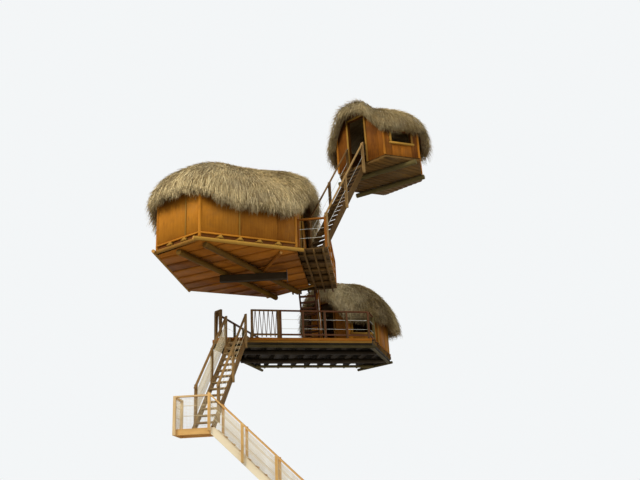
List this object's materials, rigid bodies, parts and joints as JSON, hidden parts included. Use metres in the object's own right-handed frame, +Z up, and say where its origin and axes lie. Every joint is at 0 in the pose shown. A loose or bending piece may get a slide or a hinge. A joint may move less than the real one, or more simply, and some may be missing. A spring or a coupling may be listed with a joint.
{
  "type": "tree house",
  "caption": "Tree house of thatched timber cabins on pole platforms, linked by open stairs with a terrace and a landing; the tree itself is left out.",
  "frame": {"origin": "middle of the flat face of the steel trunk plate, at the right end of the beam under the large cabin", "axes": "+X out of the plate's face, into the trunk; +Z up; the picture looks along +Y"},
  "size_m": [9.5575, 11.1493, 15.73],
  "materials": {
    "stained_boards": "orange-brown stained boards, weathered",
    "new_timber": "light sawn timber",
    "dark_poles": "dark olive-brown round timber",
    "pale_poles": "pale peeled poles",
    "thatch": "dry straw thatch, ragged at the eaves",
    "plate_steel": "dull dark grey paint with some rust",
    "rail_cable": "bright stranded cable"
  },
  "bodies": {
    "root": {"trunk_plate": "plate_steel", "trunk_beam": "dark_poles", "large_main_poles": "dark_poles", "large_brace": "new_timber", "large_rim_poles": "pale_poles", "large_floor": "stained_boards", "large_wall_front": "stained_boards", "large_wall_door": "stained_boards", "large_walls_left": "stained_boards", "large_walls_back": "stained_boards", "large_roof": "thatch", "porch_deck": "stained_boards", "porch_railing": "stained_boards", "landing_deck": "new_timber", "landing_railing": "new_timber", "first_strings": "new_timber", "first_treads": "new_timber", "first_rail_near": "new_timber", "first_rail_far": "new_timber", "second_strings": "stained_boards", "second_treads": "stained_boards", "second_rail_left": "stained_boards", "second_rail_right": "stained_boards", "terrace_frame": "stained_boards", "terrace_deck": "stained_boards", "terrace_poles": "dark_poles", "terrace_rim_poles": "pale_poles", "terrace_railing": "stained_boards", "terrace_back_railing": "stained_boards", "stick_balustrade": "stained_boards", "small_wall_front": "stained_boards", "small_wall_door": "stained_boards", "small_walls_right": "stained_boards", "small_walls_left": "stained_boards", "small_roof": "thatch", "third_strings": "stained_boards", "third_treads": "stained_boards", "third_rail": "stained_boards", "fourth_strings": "stained_boards", "fourth_treads": "stained_boards", "fourth_rail_left": "pale_poles", "fourth_rail_right": "pale_poles", "upper_beams": "dark_poles", "upper_floor": "stained_boards", "upper_walls_front": "stained_boards", "upper_walls_door": "stained_boards", "upper_roof": "thatch"}
  },
  "joints": []
}
